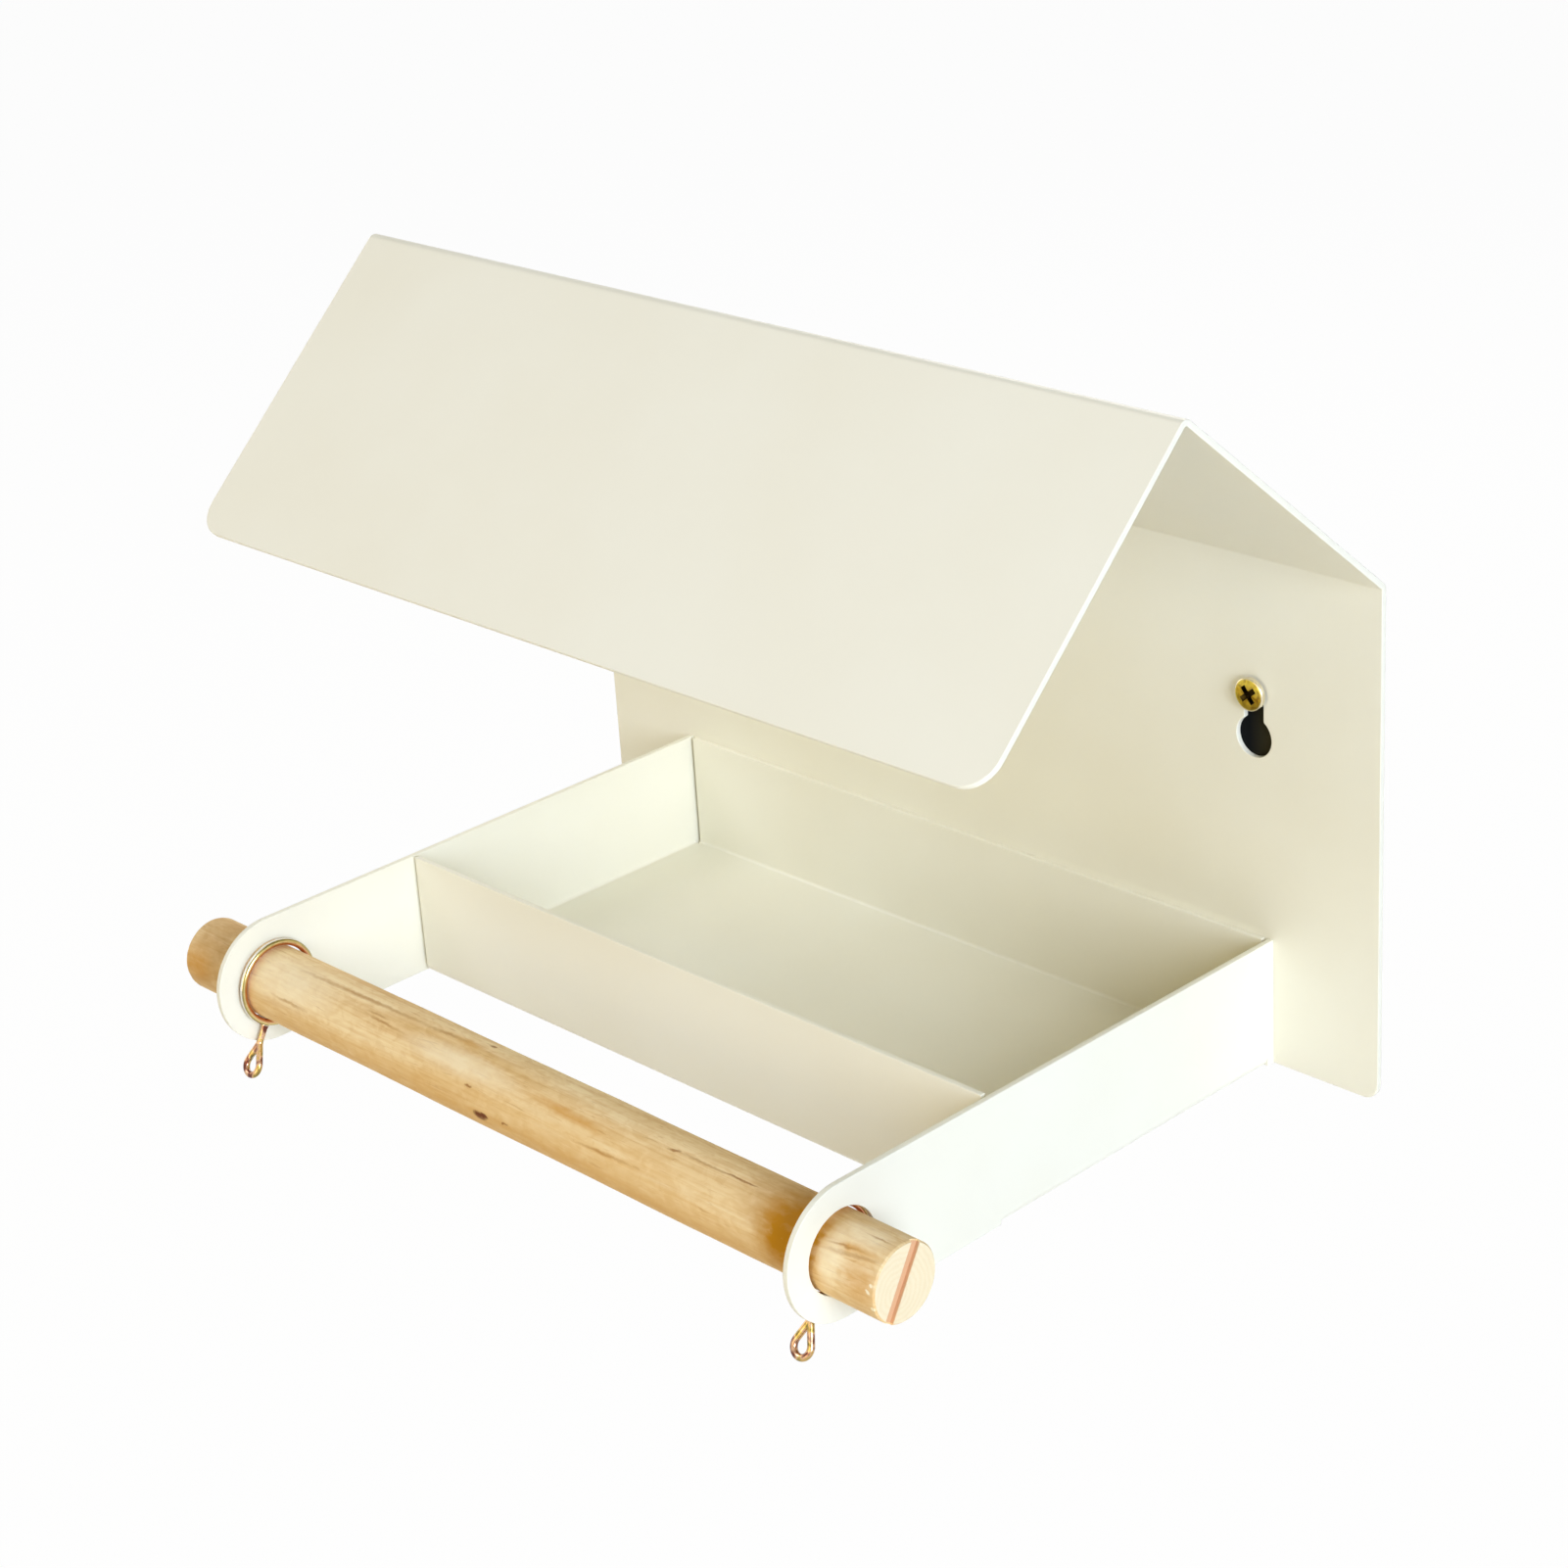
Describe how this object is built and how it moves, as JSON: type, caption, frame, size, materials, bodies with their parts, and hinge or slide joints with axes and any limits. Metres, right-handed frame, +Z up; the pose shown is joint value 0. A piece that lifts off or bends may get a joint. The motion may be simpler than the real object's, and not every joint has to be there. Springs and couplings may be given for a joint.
{
  "type": "bird feeder",
  "caption": "Wall-hung bird feeder of folded coated sheet: a back plate that folds forward into a gabled roof, and an open tray whose side arms hold a wooden perch with wire rings.",
  "frame": {"origin": "on the wall, in the plane of the back plate's rear face, midway between the axes of the screws that the feeder hangs on", "axes": "+X to the right seen from the front, +Y into the wall, +Z up"},
  "size_m": [0.26, 0.1895, 0.1884],
  "materials": {
    "powder_coat": "cream powder coat, satin, on steel sheet",
    "perch_wood": "peeled and oiled hardwood stick",
    "yellow_zinc": "yellow passivated zinc plating on steel"
  },
  "bodies": {
    "wall_screws": {"screw_left": "yellow_zinc", "screw_right": "yellow_zinc"},
    "feeder": {"back_and_roof": "powder_coat", "tray": "powder_coat"},
    "perch": {"perch": "perch_wood"},
    "ring_left": {"ring_left": "yellow_zinc"},
    "ring_right": {"ring_right": "yellow_zinc"}
  },
  "joints": [
    {"name": "lift_off", "type": "slide", "parent": "wall_screws", "child": "feeder", "axis": [0, 0, 1], "range_m": [0, 0.011]},
    {"name": "perch_turn", "type": "hinge", "parent": "feeder", "child": "perch", "pos_m": [0, -0.1455, -0.07785], "axis": [1, 0, 0], "continuous": true},
    {"name": "ring_left_swing", "type": "hinge", "parent": "feeder", "child": "ring_left", "pos_m": [-0.09695, -0.1455, -0.07785], "axis": [1, 0, 0], "range_deg": [-155, 48]},
    {"name": "ring_right_swing", "type": "hinge", "parent": "feeder", "child": "ring_right", "pos_m": [0.09695, -0.1455, -0.07785], "axis": [1, 0, 0], "range_deg": [-155, 48]}
  ]
}
